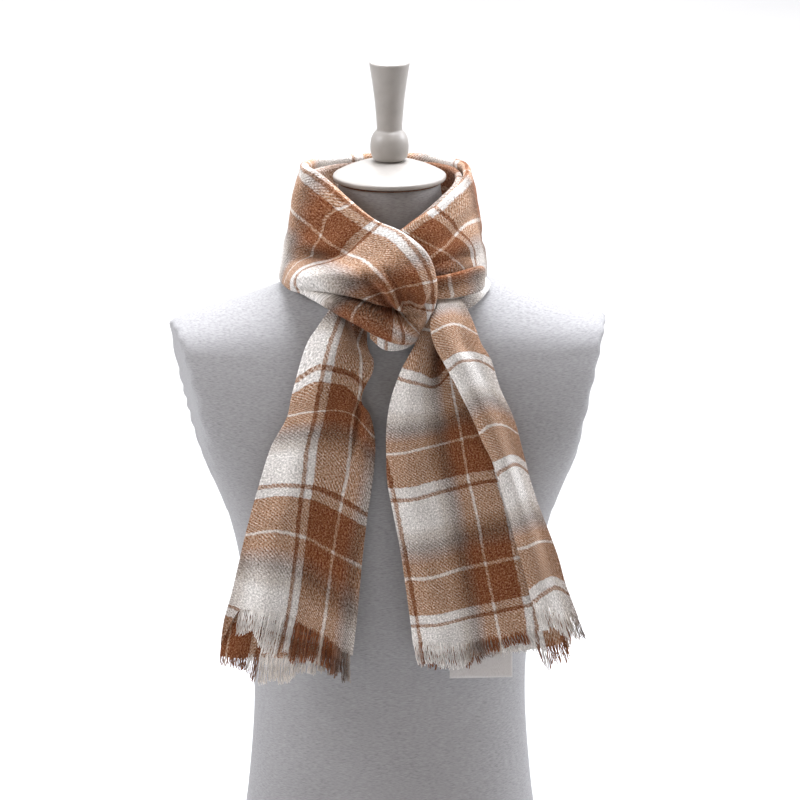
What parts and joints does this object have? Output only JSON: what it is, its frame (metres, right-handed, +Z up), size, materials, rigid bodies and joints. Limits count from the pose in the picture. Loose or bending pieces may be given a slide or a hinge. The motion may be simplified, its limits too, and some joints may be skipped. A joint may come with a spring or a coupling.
{
  "type": "blanket scarf on a dress form",
  "caption": "Plaid wool blanket scarf tied in a pull-through loop, with fringed ends hanging down the front of a limbless jersey-covered dress form with a turned cap and finial.",
  "frame": {"origin": "centre of the dress form's flat underside, on the floor, below the neck's axis", "axes": "+Z up the neck's axis, the wearer's front faces -Y, +X is the onlooker's right"},
  "size_m": [0.4208, 0.2323, 0.8572],
  "materials": {
    "plaid_wool": "brushed woollen twill in rust brown, grey and cream plaid",
    "fringe_yarn": "loose wool yarn ends in the plaid's colours",
    "jersey": "heather grey cotton jersey, stretched smooth",
    "painted_wood": "turned wood, satin off-white paint",
    "label_satin": "plain woven satin, blank"
  },
  "bodies": {
    "root": {"form_torso": "jersey", "neck_cap": "painted_wood", "finial": "painted_wood", "wrap_left": "plaid_wool", "wrap_right": "plaid_wool", "wrap_inner": "plaid_wool", "loop_return": "plaid_wool", "loop_under": "plaid_wool", "collar_under": "plaid_wool", "tail_left_front": "plaid_wool", "tail_left_back": "plaid_wool", "tail_right_panel": "plaid_wool", "tail_right_roll": "plaid_wool", "tail_right_back": "plaid_wool", "fringe_left_front": "fringe_yarn", "fringe_left_back": "fringe_yarn", "fringe_right_panel": "fringe_yarn", "fringe_right_roll": "fringe_yarn", "fringe_right_back": "fringe_yarn", "care_label": "label_satin"}
  },
  "joints": []
}
